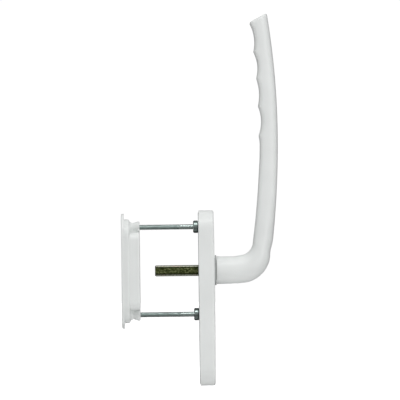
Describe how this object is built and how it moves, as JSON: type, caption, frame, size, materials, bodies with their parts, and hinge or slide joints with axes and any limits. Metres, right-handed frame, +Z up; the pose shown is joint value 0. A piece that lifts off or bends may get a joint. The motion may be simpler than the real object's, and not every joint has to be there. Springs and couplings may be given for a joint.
{
  "type": "lift-and-slide door handle set",
  "caption": "Crank lever with finger grooves on a long round-ended plate, with square spindle, support cams, through screws and an outer flush pull for a sliding patio door.",
  "frame": {"origin": "the spindle's axis where it crosses the inner face of the door leaf", "axes": "+X out of the door into the room, along the spindle; +Z up, along the long plate; Y across the door leaf"},
  "size_m": [0.1444, 0.042, 0.3397],
  "materials": {
    "white_enamel": "satin white powder coat on die-cast metal",
    "grey_polyamide": "moulded grey polyamide",
    "natural_polyamide": "moulded natural polyamide",
    "zinc_plated_steel": "zinc plated pressed steel",
    "bright_zinc": "bright blue-passivated zinc on turned steel",
    "yellow_zinc": "yellow-olive passivated zinc on drawn steel",
    "cast_zinc": "raw zinc die casting",
    "spring_steel": "tempered spring steel",
    "black_steel": "black oxide steel"
  },
  "bodies": {
    "mounted_set": {"cover_plate": "white_enamel", "flush_pull": "white_enamel", "neck_ring": "grey_polyamide", "bearing_bush": "natural_polyamide", "upper_cover_clip": "natural_polyamide", "lower_cover_clip": "natural_polyamide", "base_plate": "zinc_plated_steel", "housing_rivets": "zinc_plated_steel", "thrust_washer": "zinc_plated_steel", "upper_support_cam": "bright_zinc", "lower_support_cam": "bright_zinc", "upper_fixing_screw": "bright_zinc", "lower_fixing_screw": "bright_zinc", "bearing_housing": "cast_zinc", "detent_spring": "spring_steel"},
    "turning_lever": {"lever": "white_enamel", "lever_grub_screw": "black_steel", "spindle": "yellow_zinc", "retaining_ring": "spring_steel", "detent_rotor": "cast_zinc"}
  },
  "joints": [
    {"name": "lever_turn", "type": "hinge", "parent": "mounted_set", "child": "turning_lever", "pos_m": [0, 0, 0], "axis": [1, 0, 0], "range_deg": [0, 180], "deforming": ["detent_spring"]}
  ]
}
